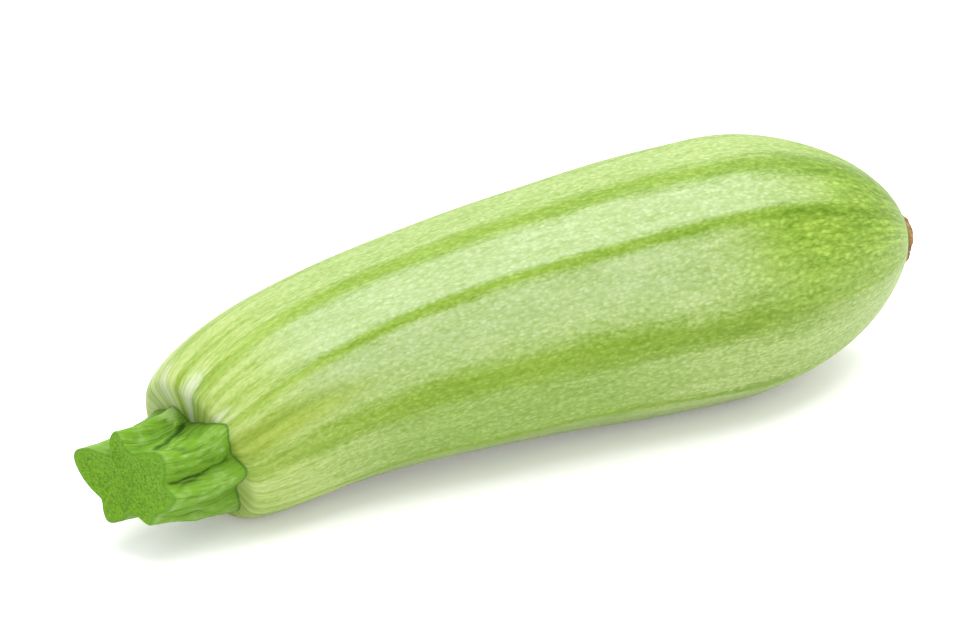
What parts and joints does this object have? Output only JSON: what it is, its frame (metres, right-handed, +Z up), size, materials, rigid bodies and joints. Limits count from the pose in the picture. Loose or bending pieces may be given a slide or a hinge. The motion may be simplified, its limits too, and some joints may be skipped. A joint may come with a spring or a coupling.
{
  "type": "pale green courgette",
  "caption": "Whole pale green courgette lying on its side: a ribbed fruit that swells from neck to belly, with a cut ridged stem and a corky blossom scar.",
  "frame": {"origin": "under the middle of the bounding box, on the plane that the fruit rests on", "axes": "+X along the fruit from the stem towards the blossom end, +Y across it, +Z up from the surface it lies on"},
  "size_m": [0.1702, 0.0496, 0.0485],
  "materials": {
    "skin": "waxy pale green skin with fine lighter flecks and darker green stripes along the ribs",
    "stem": "matt fibrous green stem with a speckled cut face",
    "scar": "rough brown cork"
  },
  "bodies": {
    "root": {"fruit": "skin", "stem": "stem", "blossom_scar": "scar"}
  },
  "joints": []
}
